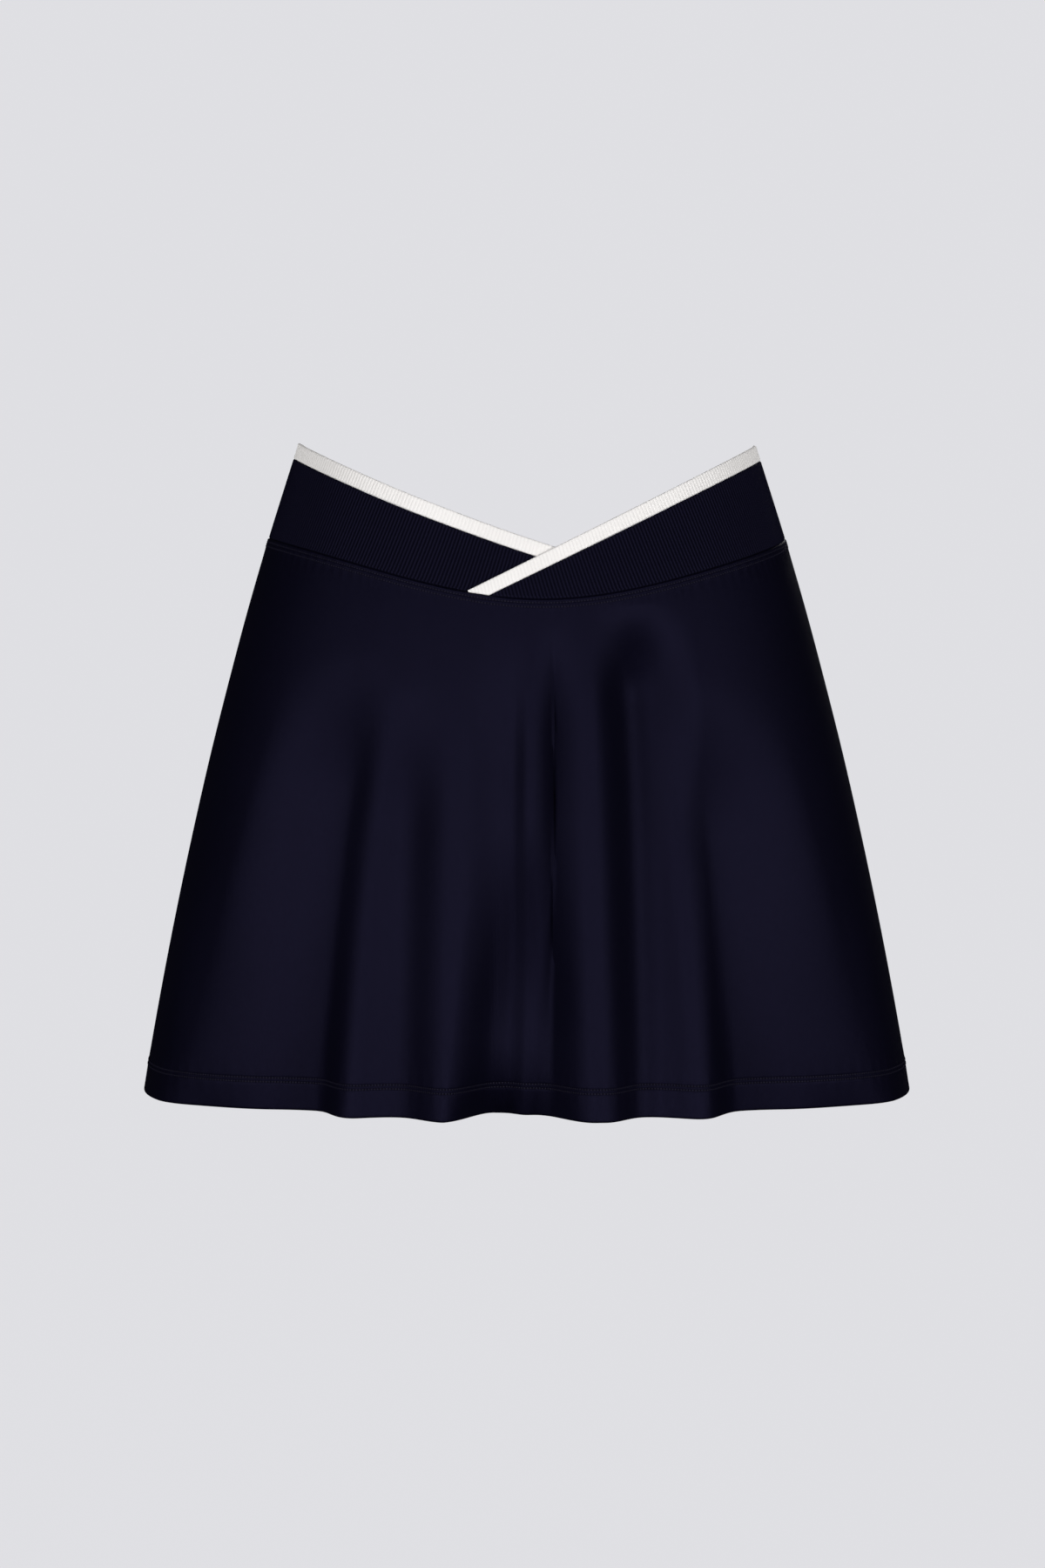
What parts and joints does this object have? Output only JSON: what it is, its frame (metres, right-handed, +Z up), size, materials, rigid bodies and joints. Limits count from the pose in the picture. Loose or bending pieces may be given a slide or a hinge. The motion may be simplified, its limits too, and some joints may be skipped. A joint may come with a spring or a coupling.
{
  "type": "skort",
  "caption": "Flared skort filled out as worn: a gently folded skirt over plain inner shorts, on a ribbed waistband with a pale tipped edge that crosses over in a V.",
  "frame": {"origin": "on the axis of the waist, at the middle of the waistband's height at the side seams, where the wearer's waist holds it", "axes": "+Z up out of the waist, +X towards the viewer's right as the front is seen (the wearer's left), -Y towards the front"},
  "size_m": [0.4306, 0.3137, 0.362],
  "materials": {
    "skirt_jersey": "smooth dense navy jersey with a faint sheen",
    "rib_knit": "navy rib knit, ribs about 2 mm apart",
    "tip_knit": "off-white rib knit tipping",
    "shorts_jersey": "plain matt navy jersey"
  },
  "bodies": {
    "root": {"skirt_front": "skirt_jersey", "skirt_back": "skirt_jersey", "waistband_front_under": "rib_knit", "waistband_front_over": "rib_knit", "waistband_back": "rib_knit", "tip_front_under": "tip_knit", "tip_front_over": "tip_knit", "tip_back": "tip_knit", "shorts_left": "shorts_jersey", "shorts_right": "shorts_jersey"}
  },
  "joints": []
}
